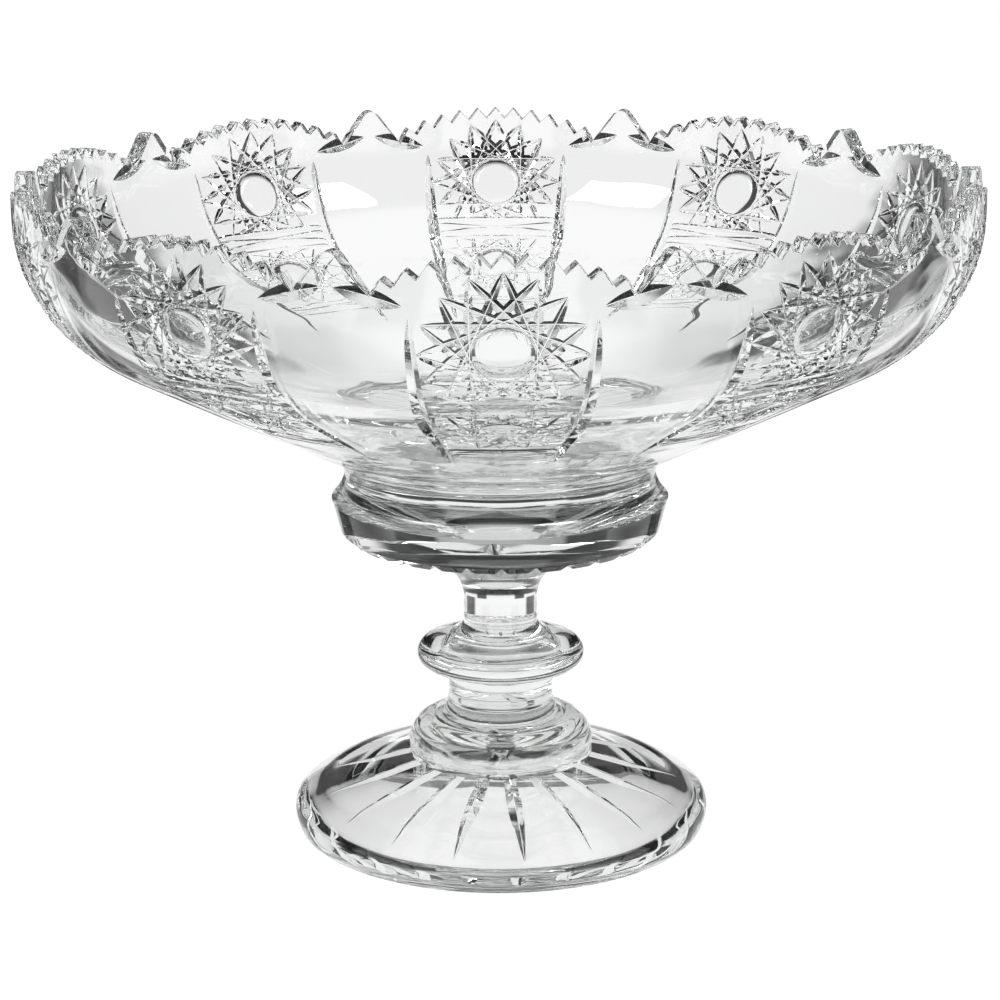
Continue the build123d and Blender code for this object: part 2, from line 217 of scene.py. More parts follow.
def sagged(start, end, sag):
    """Points of an arc between two points, its middle pushed to the left of the way by sag."""
    chord = math.dist(start, end)
    radius = (chord ** 2 / 4 + sag ** 2) / (2 * abs(sag))
    way = ((end[0] - start[0]) / chord, (end[1] - start[1]) / chord)
    left = (-way[1], way[0])
    reach = math.copysign(radius - abs(sag), sag)
    middle = ((start[0] + end[0]) / 2, (start[1] + end[1]) / 2)
    centre = (middle[0] - left[0] * reach, middle[1] - left[1] * reach)
    first = math.degrees(math.atan2(start[1] - centre[1], start[0] - centre[0]))
    last = math.degrees(math.atan2(end[1] - centre[1], end[0] - centre[0]))
    last = first + (last - first + 180) % 360 - 180
    return arc(centre, radius, first, last)


def joined(*runs):
    """One outline from runs of points, without the doubled points where they meet."""
    points = []
    for run in runs:
        for p in run:
            if not points or math.dist(points[-1], p) > 1e-6:
                points.append(tuple(p))
    return points


def divided(points, step):
    """The same outline with no straight run longer than step."""
    out = [points[0]]
    for a, b in zip(points, points[1:]):
        count = max(1, math.ceil(math.dist(a, b) / step - 1e-6))
        out += [(a[0] + (b[0] - a[0]) * i / count, a[1] + (b[1] - a[1]) * i / count)
                for i in range(1, count + 1)]
    return out


SHOULDER_CENTRE = (RIM_RADIUS - SHOULDER_RADIUS, TOP_Z - RIM_BAND)
NECK_TOP = (NECK_TOP_RADIUS, BOWL_BASE_Z + NECK_TOP_HEIGHT)
SLOPE, _ = tangent(NECK_TOP, SHOULDER_CENTRE, SHOULDER_RADIUS, -1)
SHOULDER_TURN = math.pi / 2 - SLOPE


def wall(level, depth=0.0):
    """(radius, height) of a point a given way down the wall and a given depth under its outside."""
    if level < RIM_BAND:
        return RIM_RADIUS - depth, TOP_Z - level
    turn = min((level - RIM_BAND) / SHOULDER_RADIUS, SHOULDER_TURN)
    down = max(0.0, level - RIM_BAND - SHOULDER_RADIUS * SHOULDER_TURN)
    radius = SHOULDER_RADIUS - depth
    return (SHOULDER_CENTRE[0] + radius * math.cos(turn) - down * math.cos(SLOPE),
            SHOULDER_CENTRE[1] - radius * math.sin(turn) - down * math.sin(SLOPE))


def wall_rows():
    """Levels of the rows of the wall's mesh, with one where the upright band ends."""
    shoulder_end = RIM_BAND + SHOULDER_RADIUS * SHOULDER_TURN
    levels = [0.0]
    for end in (RIM_BAND, shoulder_end, WALL_END):
        start = levels[-1]
        count = math.ceil((end - start) / ROW_STEP)
        levels += [start + (end - start) * i / count for i in range(1, count + 1)]
    return levels


def wall_outline(depth):
    """Outline of the wall from the rim down, a given depth under its outside."""
    return [wall(level, depth) for level in wall_rows()]


def floor_outline():
    """Inside of the bowl from the end of the wall in to the axis."""
    start = wall(WALL_END, WALL)
    floor_z = BOWL_BASE_Z + FLOOR_THICKNESS
    corner = start[0] - (start[1] - floor_z) / math.tan(SLOPE)
    run_out = FLOOR_BEND_RADIUS * math.tan(SLOPE / 2)
    centre = (corner - run_out, floor_z + FLOOR_BEND_RADIUS)
    bend = arc(centre, FLOOR_BEND_RADIUS, math.degrees(SLOPE) - 90, -90)
    return divided(joined([start], bend, [(0.0, floor_z)]), FLOOR_STEP)


def underside_outline():
    """Outside of the bowl from the axis under the collar out and up to the end of the wall."""
    base = BOWL_BASE_Z
    chamfer = (COLLAR_BASE_RADIUS + COLLAR_CHAMFER, base + COLLAR_CHAMFER)
    collar = (COLLAR_RADIUS, base + COLLAR_RIM_HEIGHT)
    neck = (NECK_RADIUS, base + NECK_HEIGHT)
    return joined(
        divided([(0.0, base), (COLLAR_BASE_RADIUS, base)], FLOOR_STEP),
        divided([(COLLAR_BASE_RADIUS, base), chamfer, collar], EDGE_STEP),
        sagged(collar, neck, COLLAR_SAG), sagged(neck, NECK_TOP, NECK_SAG),
        divided([NECK_TOP, wall(WALL_END)], FLOOR_STEP))


def stem_outline():
    """Stem from the axis at its lower face out, up and back in to the axis on top."""
    base, top = STEM_BASE_Z, STEM_TOP_Z
    knop = base + KNOP_CENTRE
    nose_radius = KNOP_RADIUS - KNOP_NOSE[0]
    base_edge = (STEM_BASE_RADIUS, base + STEM_BASE_EDGE)
    shoulder = (STEM_SHOULDER[0], base + STEM_SHOULDER[1])
    waist = (STEM_WAIST_RADIUS, base + STEM_WAIST_HEIGHT)
    knop_foot = (STEM_WAIST_RADIUS, knop - KNOP_UNDERSIDE)
    nose_low = (nose_radius, knop - KNOP_NOSE[1])
    nose_high = (nose_radius, knop + KNOP_NOSE[1])
    knop_top = (KNOP_TOP[0], knop + KNOP_TOP[1])
    neck = (STEM_NECK_RADIUS, knop + KNOP_FILLET[0])
    neck_top = (STEM_NECK_RADIUS, top - STEM_NECK_TOP)
    cone = (STEM_CONE[0], top - STEM_CONE[1])
    flange = (STEM_TOP_RADIUS, top - STEM_TOP_EDGE)
    return joined(
        [(0.0, base), (STEM_BASE_RADIUS, base), base_edge], sagged(base_edge, shoulder, -STEM_BASE_BULGE),
        sagged(shoulder, waist, STEM_WAIST_SAG), [knop_foot, nose_low],
        sagged(nose_low, nose_high, -KNOP_NOSE[0]), sagged(knop_top, neck, KNOP_FILLET[1]),
        sagged(neck_top, cone, STEM_CONE_SAG), [flange, (STEM_TOP_RADIUS, top), (0.0, top)])


def foot_dome_height(r):
    """Height of the hollow under the foot at radius r."""
    if r <= FOOT_DOME_FLAT_RADIUS:
        return FOOT_DOME_HEIGHT
    t = (r - FOOT_DOME_FLAT_RADIUS) / (FOOT_HOLLOW_RADIUS - FOOT_DOME_FLAT_RADIUS)
    return FOOT_DOME_HEIGHT * (1 - t) + 4 * FOOT_DOME_SAG * t * (1 - t)


def foot_outline():
    """Foot from the axis under the hollow, out over the edge and back in to the axis on top."""
    hollow = (FOOT_HOLLOW_RADIUS, 0.0)
    dome = [(r, foot_dome_height(r)) for r in np.linspace(0.0, FOOT_HOLLOW_RADIUS, DOME_POINTS)]
    base = (FOOT_BASE_RADIUS, 0.0)
    undercut = FOOT_RADIUS - FOOT_BASE_RADIUS
    lower_radius = (undercut ** 2 + FOOT_EDGE_HEIGHT ** 2) / (2 * undercut)
    lower_centre = (FOOT_RADIUS - lower_radius, FOOT_EDGE_HEIGHT)
    lower_turn = math.degrees(math.asin(FOOT_EDGE_HEIGHT / lower_radius))
    edge_centre = (FOOT_RADIUS - FOOT_EDGE_RADIUS, FOOT_EDGE_HEIGHT)
    shoulder = (FOOT_RADIUS - FOOT_SHOULDER_INSET, FOOT_SHOULDER_HEIGHT)
    slope, edge_start = tangent(shoulder, edge_centre, FOOT_EDGE_RADIUS, 1)
    step = (STEM_BASE_RADIUS, FOOT_HEIGHT - FOOT_BOSS_STEP)
    boss = (STEM_BASE_RADIUS, FOOT_HEIGHT)
    return joined(
        dome, [hollow, base], arc(lower_centre, lower_radius, -lower_turn, 0),
        arc(edge_centre, FOOT_EDGE_RADIUS, 0, 90 + math.degrees(slope)), [edge_start, shoulder],
        divided(sagged(step, shoulder, -FOOT_FLARE_SAG), FLOOR_STEP)[::-1], [boss, (0.0, FOOT_HEIGHT)])


# ---------------------------------------------------------------- meshes

def mesh_object(name, verts, faces, material_index=BASE):
    """Object from points in millimetres, its faces all in one of the two glass slots."""
    mesh = bpy.data.meshes.new(name)
    mesh.from_pydata([tuple(v) for v in verts], [], faces)
    for _ in (BASE, CUT):
        mesh.materials.append(None)
    mesh.polygons.foreach_set("material_index", [material_index] * len(mesh.polygons))
    thing = bpy.data.objects.new(name, mesh)
    bpy.context.scene.collection.objects.link(thing)
    return thing


@contextmanager
def edited(thing):
    """The mesh of an object, open for editing and written back at the end."""
    shape = bmesh.new()
    shape.from_mesh(thing.data)
    yield shape
    shape.to_mesh(thing.data)
    shape.free()


def face_outwards(thing):
    with edited(thing) as shape:
        bmesh.ops.recalc_face_normals(shape, faces=shape.faces)


def turned(name, outline):
    """Closed solid of revolution, in millimetres, from an outline that starts and ends on the axis."""
    count = round(360 / COLUMN_ANGLE)
    verts, rings = [], []
    for r, z in outline:
        if r < 1e-6:
            rings.append([len(verts)])
            verts.append((0.0, 0.0, z))
            continue
        rings.append([len(verts) + i for i in range(count)])
        for i in range(count):
            a = math.radians(FRONT + COLUMN_ANGLE * i)
            verts.append((r * math.cos(a), r * math.sin(a), z))
    faces = []
    for low, high in zip(rings, rings[1:]):
        for i in range(count):
            j = (i + 1) % count
            if len(low) == 1:
                faces.append((low[0], high[j], high[i]))
            elif len(high) == 1:
                faces.append((low[i], low[j], high[0]))
            else:
                faces.append((low[i], low[j], high[j], high[i]))
    return mesh_object(name, verts, faces)


def cutter(sections):
    """Closed polyhedron through polygons of equal count, as (points, faces)."""
    n = len(sections[0])
    verts = [p for section in sections for p in section]
    faces = [tuple(range(n))[::-1], tuple(range(len(verts) - n, len(verts)))]
    for k in range(len(sections) - 1):
        for i in range(n):
            j = (i + 1) % n
            faces.append((k * n + i, k * n + j, k * n + n + j, k * n + n + i))
    return verts, faces


def cut(target, cutters):
    """Takes all the cutters away from the target at once."""
    verts, faces = [], []
    for points, polygons in cutters:
        faces += [tuple(len(verts) + i for i in polygon) for polygon in polygons]
        verts += points
    tool = mesh_object("cutters", verts, faces, CUT)
    face_outwards(tool)
    modifier = target.modifiers.new("cut", "BOOLEAN")
    modifier.operation = "DIFFERENCE"
    modifier.solver = "EXACT"
    modifier.use_self = True
    modifier.object = tool
    graph = bpy.context.evaluated_depsgraph_get()
    result = bpy.data.meshes.new_from_object(target.evaluated_get(graph))
    target.modifiers.clear()
    old, target.data = target.data, result
    bpy.data.meshes.remove(old)
    bpy.data.objects.remove(tool)


def v_sections(stations, across, spread=1.0):
    """Sections of a V-cut through stations of (surface point, outward normal, depth).

    Spread is the half width of the cut over its depth.
    """
    across = Vector(across)
    sections = []
    for surface, normal, depth in stations:
        surface, normal = Vector(surface), Vector(normal)
        lip = surface + normal * CUT_CLEARANCE
        side = across * (depth + CUT_CLEARANCE) * spread
        bottom, flat = surface - normal * depth, across * GROOVE_FLOOR / 2
        sections.append([tuple(bottom - flat), tuple(bottom + flat), tuple(lip + side + flat),
                         tuple(lip - side - flat)])
    return sections


# The wall of one sector is cut while it lies flat, as a slab: x runs along the rim's circle, y is
# the level down the wall, and z is the height over the outside of the wall.

def flat_groove(start, end, depth, run_out, stretch=1.0):
    """V-cut on the flat wall between two points, running out to nothing at both ends."""
    start, end = Vector((*start, 0)), Vector((*end, 0))
    way = (end - start).normalized()
    across = Vector((-way.y, way.x, 0))
    across.x *= stretch
    stations = []
    third = run_out / 3
    for t, share in ((0, 0), (third, GROOVE_END_SHARE), (run_out, 1),
                     (1 - run_out, 1), (1 - third, GROOVE_END_SHARE), (1, 0)):
        stations.append((start + (end - start) * t, (0, 0, 1), depth * share))
    return cutter(v_sections(stations, across, STAR_SPREAD))


def long_groove(side):
    """Mitre groove at one side of a panel, deepest in the middle."""
    x = math.radians(side * PANEL_GROOVE_ANGLE) * RIM_RADIUS
    stations = []
    for t in np.linspace(0, 1, GROOVE_STATIONS):
        y = PANEL_GROOVE_TOP + (PANEL_GROOVE_BOTTOM - PANEL_GROOVE_TOP) * t
        stations.append(((x, y, 0), (0, 0, 1), PANEL_GROOVE_DEPTH * math.sqrt(1 - (2 * t - 1) ** 2)))
    return cutter(v_sections(stations, (RIM_RADIUS / wall(GROOVE_MIDDLE)[0], 0, 0)))


def star_grooves(level, radius, depth, above, below):
    """Chords of a star of V-cuts, clipped a given way above and below its middle."""
    stretch = RIM_RADIUS / wall(level)[0]
    cuts = []
    for i in range(STAR_POINTS):
        ends = []
        for k in (i, i + STAR_SKIP):
            a = math.radians(90 + 360 / STAR_POINTS * k)
            ends.append(Vector((radius * math.cos(a), radius * math.sin(a))))
        a, b = ends
        for p, q in ((a, b), (b, a)):
            for limit in (-above, below):
                if (p.y - limit) * math.copysign(1, limit) > 0:
                    p += (q - p) * ((limit - p.y) / (q.y - p.y))
        placed = [(p.x * stretch, p.y + level) for p in ends]
        if (ends[0] - ends[1]).length > radius / 2:
            cuts.append(flat_groove(*placed, depth, STAR_RUN_OUT, stretch))
    return cuts


def button(level, radius):
    """Round hollow over the flat wall, with a nearly flat middle inside a steep ring."""
    stretch = RIM_RADIUS / wall(level)[0]
    outer, inner = (math.radians(a) for a in BUTTON_SLOPES)
    ring = BUTTON_RING / (math.sin(outer) - math.sin(inner))
    middle = (radius - BUTTON_RING) / math.sin(inner)
    profile = [(middle * math.sin(a), -middle * math.cos(a)) for a in np.linspace(0, inner, 4)]
    shift = Vector(profile[-1]) - ring * Vector((math.sin(inner), -math.cos(inner)))
    for a in np.linspace(inner, outer, 6)[1:]:
        profile.append(tuple(shift + ring * Vector((math.sin(a), -math.cos(a)))))
    top = profile[-1][1]
    profile.append((profile[-1][0] + math.cos(outer), top + math.sin(outer)))
    profile.append((profile[-1][0], top + CUT_CLEARANCE))
    turns = [2 * math.pi * i / BUTTON_SIDES for i in range(BUTTON_SIDES)]
    sections = []
    for r, z in profile:
        r = max(r, 0.02)    # the lowest section is a tiny polygon, since a cutter has no single points
        sections.append([(r * stretch * math.cos(a), level + r * math.sin(a), z - top) for a in turns])
    return cutter(sections)


def olive(side):
    """Slanting almond-shaped V-cut beside the peak at one end of the sector."""
    ends = [(side * SECTOR_HALF - side * math.radians(angle) * RIM_RADIUS, level)
            for angle, level in (OLIVE_INNER, OLIVE_OUTER)]
    start, end = Vector((*ends[0], 0)), Vector((*ends[1], 0))
    way = (end - start).normalized()
    spread = math.tan(math.radians(OLIVE_HALF_ANGLE))
    stations = []
    for t in np.linspace(0, 1, CUT_STATIONS):
        stations.append((start + (end - start) * t, (0, 0, 1), OLIVE_DEPTH * (1 - (2 * t - 1) ** 2)))
    return cutter(v_sections(stations, (-way.y, way.x, 0), spread))


def rim_outline():
    """Rim of the flat sector as (along, level): half a peak, a scallop of teeth, half a peak."""
    half = SECTOR_HALF - PEAK_WIDTH / 2
    pitch = 2 * half / TEETH
    slant = TOOTH_DEPTH / (pitch / 2)
    right = []
    for i in range(TEETH // 2 + 1):
        centre = i * pitch
        for along in (centre - TOOTH_TIP_FLAT, centre - TOOTH_TIP_FLAT / 2, centre,
                      centre + TOOTH_TIP_FLAT / 2, centre + TOOTH_TIP_FLAT):
            if along >= 0:
                rounding = slant * (along - centre) ** 2 / (2 * TOOTH_TIP_FLAT)
                right.append((along, SCALLOP_DROP * (along / half) ** 2 + rounding))
        along = centre + pitch / 2
        right.append((along, SCALLOP_DROP * (along / half) ** 2 + TOOTH_DEPTH))
    peak_centre = (half + PEAK_WIDTH / 2, -PEAK_TIP_RADIUS)
    notch = (right[-1][0], -right[-1][1])
    side, _ = tangent(notch, peak_centre, PEAK_TIP_RADIUS, 1)
    for x, z in arc(peak_centre, PEAK_TIP_RADIUS, 90 + math.degrees(side), 90):
        right.append((x, -z))
    left = [(-x, y) for x, y in right[:0:-1]]
    return left + right


def rim_cutter():
    """Everything above the rim, reaching further down at both faces of the wall to round its edges."""
    rim = rim_outline()
    left, right = rim[0][0] - 1, rim[-1][0] + 1
    # Places over a face of the wall, and how much lower the rim is cut there than in the middle
    rounding = [(1.0, RIM_EDGE + 1.5), (0.0, RIM_EDGE), (-0.3 * RIM_EDGE, 0.3 * RIM_EDGE), (-RIM_EDGE, 0.0)]
    stages = [(-WALL - z, drop) for z, drop in rounding] + rounding[::-1]
    sections = []
    for z, drop in stages:
        loop = [(x, y + drop) for x, y in rim]
        outline = [(left, RIM_CUT_TOP), (left, 0.0)] + loop + [(right, 0.0), (right, RIM_CUT_TOP)]
        sections.append([(x, y, z) for x, y in outline])
    return cutter(sections)


def band_lines(lines):
    """Nearly level V-cuts right across a panel, some of them crossing."""
    reach = math.radians(PANEL_GROOVE_ANGLE) * RIM_RADIUS - BAND_INSET
    return [flat_groove((-reach, left), (reach, right), BAND_DEPTH, BAND_RUN_OUT) for left, right in lines]


def flat_sector():
    """Wall of one sector while flat, with all its cutting, as a mesh in millimetres."""
    x, top = SECTOR_HALF, -SLAB_STOCK
    corners = [(-x, top), (x, top), (x, WALL_END), (-x, WALL_END)]
    verts = [(a, b, z) for z in (-WALL, 0.0) for a, b in corners]
    slab = mesh_object("slab", verts, [(0, 1, 2, 3), (7, 6, 5, 4), (0, 4, 5, 1), (1, 5, 6, 2),
                                       (2, 6, 7, 3), (3, 7, 4, 0)])
    cuts = [rim_cutter()]
    cuts += [long_groove(side) for side in (-1, 1)]
    cuts += [olive(side) for side in (-1, 1)]
    cuts += star_grooves(STAR_LEVELS[0], STAR_RADII[0], STAR_DEPTHS[0], STAR_RADII[0], STAR_CLIP[0])
    cuts += star_grooves(STAR_LEVELS[1], STAR_RADII[1], STAR_DEPTHS[1], STAR_CLIP[1], STAR_RADII[1])
    cuts += band_lines(BAND_LINES) + band_lines(LOWER_BAND_LINES)
    cuts += [button(*b) for b in zip(STAR_LEVELS, BUTTON_RADII)]
    face_outwards(slab)
    cut(slab, cuts)
    return slab


def grid_cut(slab):
    """Splits the flat wall along the columns and rows of the turned mesh, so that it can be bent."""
    columns = round(SECTOR / COLUMN_ANGLE)
    planes = [((-SECTOR_HALF + 2 * SECTOR_HALF * i / columns, 0, 0), (1, 0, 0)) for i in range(1, columns)]
    planes += [((0, level, 0), (0, 1, 0)) for level in wall_rows()[:-1]]
    with edited(slab) as shape:
        for place, normal in planes:
            bmesh.ops.bisect_plane(shape, geom=shape.verts[:] + shape.edges[:] + shape.faces[:], dist=1e-5,
                                   plane_co=place, plane_no=normal)


def bend(slab):
    """Drops the slab's cut ends and bends it to the bowl's wall."""
    with edited(slab) as shape:
        ends = [f for f in shape.faces
                if all(abs(abs(v.co.x) - SECTOR_HALF) < SAME_POINT for v in f.verts)
                or all(abs(v.co.y - WALL_END) < SAME_POINT for v in f.verts)]
        bmesh.ops.delete(shape, geom=ends, context="FACES")
        for v in shape.verts:
            angle = math.radians(FRONT) + v.co.x / RIM_RADIUS
            r, z = wall(v.co.y, -v.co.z)
            v.co = Vector((r * math.cos(angle), r * math.sin(angle), z))


def outline_normals(way):
    """Normals of an outline's runs: flat ones, and smooth ones at the start and end of each run.

    A corner stays sharp where the outline turns by more than CREASE.
    """
    flat = np.stack([way[:, 1], -way[:, 0]], axis=1)
    turn = np.einsum("ij,ij->i", flat[1:], flat[:-1])
    soft = turn > math.cos(math.radians(CREASE))
    start, end = flat.copy(), flat.copy()
    mean = flat[1:] + flat[:-1]
    mean /= np.linalg.norm(mean, axis=1)[:, None]
    start[1:][soft] = mean[soft]
    end[:-1][soft] = mean[soft]
    return flat, start, end


def read(items, name, width=1, kind=float):
    """An attribute of all the items as an array, one row each."""
    values = np.zeros(len(items) * width, dtype=kind)
    items.foreach_get(name, values)
    return values.reshape(-1, width) if width > 1 else values


def turned_normals(spots, face_normals, face_centres, outline):
    """Normals of the corners of turned faces, each from the run of the outline that its face lies on.

    That is the nearest run, unless the face looks another way than the run does.
    """
    points = np.array(outline)
    way = np.diff(points, axis=0)
    lengths = np.linalg.norm(way, axis=1)
    way /= lengths[:, None]
    flat, start, end = outline_normals(way)
    radius = np.hypot(spots[:, 0], spots[:, 1])
    place = np.stack([radius, spots[:, 2]], axis=1)
    c, n = face_centres, face_normals
    c_radius = np.maximum(np.hypot(c[:, 0], c[:, 1]), 1e-9)
    facing = np.stack([(n[:, 0] * c[:, 0] + n[:, 1] * c[:, 1]) / c_radius, n[:, 2]], axis=1)
    best = np.full(len(spots), np.inf)
    chosen = np.zeros((len(spots), 2))
    for k in range(len(way)):
        offset = place - points[k]
        along = np.clip(offset @ way[k], 0, lengths[k])
        gap = np.linalg.norm(offset - along[:, None] * way[k], axis=1)
        cost = gap + FACING_COST * np.maximum(0, FACING_LIMIT - facing @ flat[k])
        t = (along / lengths[k])[:, None]
        blend = start[k] * (1 - t) + end[k] * t
        better = cost < best
        best[better] = cost[better]
        chosen[better] = blend[better]
    chosen /= np.linalg.norm(chosen, axis=1)[:, None]
    safe = np.maximum(radius, 1e-6)
    return np.stack([chosen[:, 0] * spots[:, 0] / safe, chosen[:, 0] * spots[:, 1] / safe,
                     chosen[:, 1]], axis=1)


def shade(thing, outline):
    """Sets the normals of a cut and turned piece: turned faces follow the outline, and cuts stay crisp."""
    mesh = thing.data
    vertex_of = read(mesh.loops, "vertex_index", kind=np.int64)
    coords = read(mesh.vertices, "co", 3) / MM
    face_normals = read(mesh.polygons, "normal", 3)
    areas = read(mesh.polygons, "area")
    slots = read(mesh.polygons, "material_index", kind=np.int64)
    face_of = np.repeat(np.arange(len(mesh.polygons)), read(mesh.polygons, "loop_total", kind=np.int64))
    normals = face_normals[face_of].copy()

    loops = np.flatnonzero(slots[face_of] == BASE)
    centres = read(mesh.polygons, "center", 3)[face_of[loops]]
    normals[loops] = turned_normals(coords[vertex_of[loops]], normals[loops], centres, outline)

    loops_at = {}
    for loop in np.flatnonzero(slots[face_of] == CUT):
        loops_at.setdefault(vertex_of[loop], []).append(loop)
    limit = math.cos(math.radians(FACET_CREASE))
    for loops in loops_at.values():
        faces = face_of[loops]
        near = face_normals[faces] @ face_normals[faces].T > limit
        total = (near * areas[faces][None, :]) @ face_normals[faces]
        size = np.linalg.norm(total, axis=1)
        for loop, value, s in zip(loops, total, size):
            if s > 0:
                normals[loop] = value / s
    mesh.polygons.foreach_set("use_smooth", [True] * len(mesh.polygons))
    mesh.normals_split_custom_set(normals.tolist())


def finish_mesh(thing, outline):
    """Metres, clean joints, outward faces and normals for a piece that is complete."""
    with edited(thing) as shape:
        bmesh.ops.remove_doubles(shape, verts=shape.verts, dist=SAME_POINT)
        bmesh.ops.dissolve_degenerate(shape, dist=SAME_POINT / 10, edges=shape.edges)
        bmesh.ops.recalc_face_normals(shape, faces=shape.faces)
        bmesh.ops.scale(shape, vec=(MM, MM, MM), verts=shape.verts)
    shade(thing, outline)


def merge(name, things):
    """One object from several in millimetres, each turned about the axis by its own angle."""
    shape = bmesh.new()
    for thing, turn in things:
        start = len(shape.verts)
        shape.from_mesh(thing.data)
        shape.verts.ensure_lookup_table()
        bmesh.ops.rotate(shape, verts=shape.verts[start:], matrix=Matrix.Rotation(turn, 3, "Z"))
    result = mesh_object(name, [], [])
    shape.to_mesh(result.data)
    shape.free()
    for thing in {thing for thing, _ in things}:
        bpy.data.objects.remove(thing)
    return result


def ray(azimuth, places):
    """V-cut from below, outwards from the axis, through places of (radius, height, depth)."""
    a = math.radians(azimuth)
    out, across = Vector((math.cos(a), math.sin(a), 0)), Vector((-math.sin(a), math.cos(a), 0))
    stations = [(out * r + Vector((0, 0, z)), (0, 0, -1), depth) for r, z, depth in places]
    return cutter(v_sections(stations, across))


def collar_rays():
    """Star under the collar, running out towards the stem."""
    places = [(STEM_TOP_RADIUS + CUT_CLEARANCE, BOWL_BASE_Z, 0.0),
              (COLLAR_RADIUS + CUT_CLEARANCE, BOWL_BASE_Z, COLLAR_RAY_DEPTH)]
    return [ray(FRONT + 360 / COLLAR_RAYS * i, places) for i in range(COLLAR_RAYS)]


def foot_rays():
    """Star in the hollow under the foot."""
    places = []
    for t in np.linspace(0, 1, CUT_STATIONS):
        r = FOOT_RAY_START + (FOOT_RAY_END - FOOT_RAY_START) * t
        depth = FOOT_RAY_DEPTH * min(1.0, FOOT_RAY_ONSET + FOOT_RAY_RISE * t, FOOT_RAY_FALL * (1 - t))
        places.append((r, foot_dome_height(r), depth))
    return [ray(FRONT + FOOT_RAY_TURN + 360 / FOOT_RAYS * i, places) for i in range(FOOT_RAYS)]


def drop_seam(low):
    """Opens the turned lower part of the bowl where the wall joins it."""
    inner, outer = wall(WALL_END, WALL), wall(WALL_END)
    across = Vector((outer[1] - inner[1], inner[0] - outer[0])).normalized()

    def at_seam(v):
        r = math.hypot(v.co.x, v.co.y)
        return abs((r - outer[0]) * across.x + (v.co.z - outer[1]) * across.y) <= 10 * SAME_POINT

    with edited(low) as shape:
        gone = [f for f in shape.faces if all(at_seam(v) for v in f.verts)]
        bmesh.ops.delete(shape, geom=gone, context="FACES")


def make_bowl():
    """Ten copies of the cut and bent wall, on a turned floor, neck and collar."""
    slab = flat_sector()
    grid_cut(slab)
    bend(slab)
    inner, outer = floor_outline(), underside_outline()
    low = turned("low", outer + inner)
    cut(low, collar_rays())
    drop_seam(low)
    turns = [math.radians(SECTOR * i) for i in range(SCALLOPS)]
    bowl = merge("bowl_glass", [(slab, turn) for turn in turns] + [(low, 0.0)])
    rim = [(RIM_RADIUS - WALL, TOP_Z)]
    outline = joined(outer, wall_outline(0.0)[::-1], rim, wall_outline(WALL), inner)
    finish_mesh(bowl, outline)
    return bowl


def make_stem():
    outline = divided(stem_outline(), STEM_STEP)
    stem = turned("stem_glass", outline)
    finish_mesh(stem, outline)
    return stem


def make_foot():
    outline = divided(foot_outline(), EDGE_STEP)
    foot = turned("foot_glass", outline)
    cut(foot, foot_rays())
    finish_mesh(foot, outline)
    return foot


def make_bond(node):
    """Film of adhesive between two pieces of glass."""
    low, high = box_mm(node)
    bottom, top = low[2] - BOND_WETTING, high[2] + BOND_WETTING
    rim = BOND_RADIUS[node]
    outline = divided([(0.0, bottom), (rim, bottom), (rim, top), (0.0, top)], FLOOR_STEP)
    film = turned(node + "_film", outline)
    finish_mesh(film, outline)
    return film


# ---------------------------------------------------------------- materials

BODY_COLOR = (0.70, 0.74, 0.73)
BODY_DENSITY = 2.6            # per metre; long ways through the glass come out grey-green
GLASS_IOR = 1.55
WAVE_SCALE = 30.0             # waves of the polished surface, per metre
WAVE_STRETCH = (1.0, 1.0, 2.5)


def glass(name, color, waviness):
    """Clear glass with a faint tint in its thickness and, with waviness over 0, an uneven polish."""
    material = bpy.data.materials.new(name)
    material.use_nodes = True
    nodes, links = material.node_tree.nodes, material.node_tree.links
    shader = nodes["Principled BSDF"]
    shader.inputs["Base Color"].default_value = (*color, 1.0)
    shader.inputs["Transmission Weight"].default_value = 1.0
    shader.inputs["Roughness"].default_value = 0.0
    shader.inputs["IOR"].default_value = GLASS_IOR
    body = nodes.new("ShaderNodeVolumeAbsorption")
    body.inputs["Color"].default_value = (*BODY_COLOR, 1.0)
    body.inputs["Density"].default_value = BODY_DENSITY
    links.new(body.outputs[0], nodes["Material Output"].inputs["Volume"])
    if waviness:
        place = nodes.new("ShaderNodeTexCoord")
        noise = nodes.new("ShaderNodeTexNoise")
        noise.inputs["Scale"].default_value = WAVE_SCALE
        noise.inputs["Detail"].default_value = 1.0
        stretch = nodes.new("ShaderNodeMapping")
        stretch.inputs["Scale"].default_value = WAVE_STRETCH
        bump = nodes.new("ShaderNodeBump")
        bump.inputs["Strength"].default_value = waviness
        bump.inputs["Distance"].default_value = MM
        links.new(place.outputs["Object"], stretch.inputs["Vector"])
        links.new(stretch.outputs[0], noise.inputs["Vector"])
        links.new(noise.outputs["Fac"], bump.inputs["Height"])
        links.new(bump.outputs["Normal"], shader.inputs["Normal"])
    return material


def dress(piece, node, material):
    """Gives a piece its material, in both glass slots, and has it stand for a node."""
    for index in (BASE, CUT):
        piece.data.materials[index] = material
    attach(piece, "root")
    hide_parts(node)


crystal = glass("crystal", (0.985, 0.99, 0.987), 0.3)
adhesive = glass("clear_adhesive", (0.985, 0.99, 0.985), 0.0)

bowl, stem, foot = make_bowl(), make_stem(), make_foot()
for piece, node in ((bowl, "bowl"), (stem, "stem"), (foot, "foot")):
    dress(piece, node, crystal)
for node in ("bowl_bond", "foot_bond"):
    dress(make_bond(node), node, adhesive)


# ---------------------------------------------------------------- stage, light and camera

